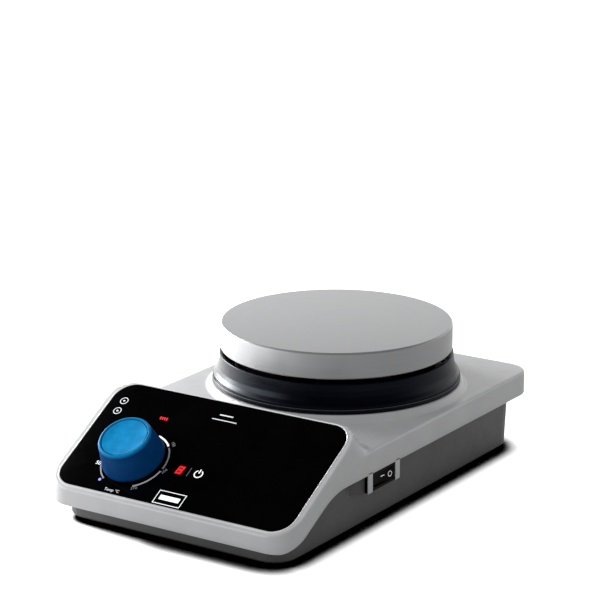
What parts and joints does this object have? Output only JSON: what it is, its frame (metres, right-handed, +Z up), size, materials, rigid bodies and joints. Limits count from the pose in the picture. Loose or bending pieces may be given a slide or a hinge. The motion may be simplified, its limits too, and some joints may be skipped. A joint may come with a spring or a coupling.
{
  "type": "laboratory heating plate",
  "caption": "Low grey casing with a sloped black control panel, one blue knob, a side rocker switch and a round aluminium heating plate on a black flared collar.",
  "frame": {"origin": "centre of the footprint, on the surface the rubber feet stand on", "axes": "+Z up, -Y the front with the sloped panel, +X the side with the mains switch"},
  "size_m": [0.163, 0.264, 0.0856],
  "materials": {
    "casing_paint": "satin light grey paint",
    "base_plastic": "matt dark grey",
    "gloss_black": "gloss black",
    "satin_black": "satin black",
    "knob_blue": "satin blue",
    "aluminium": "satin",
    "steel": "bright",
    "brass": "bright",
    "mica": "mica",
    "wool": "mineral wool",
    "board_green": "green solder resist",
    "rubber": "matt black",
    "red_lens": "red, lit",
    "glass": "clear",
    "lead_brown": "brown sleeve",
    "lead_blue": "blue sleeve",
    "lead_earth": "green and yellow sleeve",
    "label_silver": "blank plate"
  },
  "bodies": {
    "casing": {"upper_housing": "casing_paint", "base_cover": "base_plastic", "rubber_foot_1": "rubber", "rubber_foot_2": "rubber", "rubber_foot_3": "rubber", "rubber_foot_4": "rubber", "base_screw_1": "steel", "base_screw_2": "steel", "base_screw_3": "steel", "base_screw_4": "steel", "rating_plate": "label_silver", "heating_plate": "aluminium", "heating_element": "mica", "element_clamp_disc": "steel", "insulation_disc": "wool", "heat_shield_disc": "steel", "plate_pillar_1": "steel", "plate_pillar_2": "steel", "plate_pillar_3": "steel", "temperature_sensor": "steel", "thermal_cutout": "mica", "heat_shield_collar": "gloss_black", "control_panel": "gloss_black", "heat_indicator_lens": "red_lens", "display_lens": "red_lens", "potentiometer_body": "steel", "potentiometer_nut": "steel", "control_board": "board_green", "display_module": "satin_black", "switch_body": "satin_black", "inlet_socket": "satin_black", "inlet_pin_line": "brass", "inlet_pin_neutral": "brass", "inlet_pin_earth": "brass", "power_board": "board_green", "transformer": "satin_black", "triac_heat_sink": "aluminium", "terminal_block": "board_green", "earth_screw": "brass", "heater_lead_line": "lead_brown", "heater_lead_neutral": "lead_blue", "neutral_lead": "lead_blue", "switch_lead_in": "lead_brown", "switch_lead_out": "lead_brown", "earth_lead": "lead_earth"},
    "knob": {"knob": "knob_blue", "knob_cap": "knob_blue", "potentiometer_shaft": "aluminium"},
    "rocker": {"switch_rocker": "satin_black"},
    "fuse_drawer": {"fuse_drawer": "satin_black", "fuse": "glass"}
  },
  "joints": [
    {"name": "knob_turn", "type": "hinge", "parent": "casing", "child": "knob", "pos_m": [-0.0366, -0.10665, 0.03539], "axis": [0, -0.5045, 0.8634], "range_deg": [-146, 146]},
    {"name": "switch_rock", "type": "hinge", "parent": "casing", "child": "rocker", "pos_m": [0.0759, -0.0377, 0.02815], "axis": [0, 0, 1], "range_deg": [0, 12]},
    {"name": "fuse_drawer_slide", "type": "slide", "parent": "casing", "child": "fuse_drawer", "axis": [0, 1, 0], "range_m": [0, 0.018]}
  ]
}
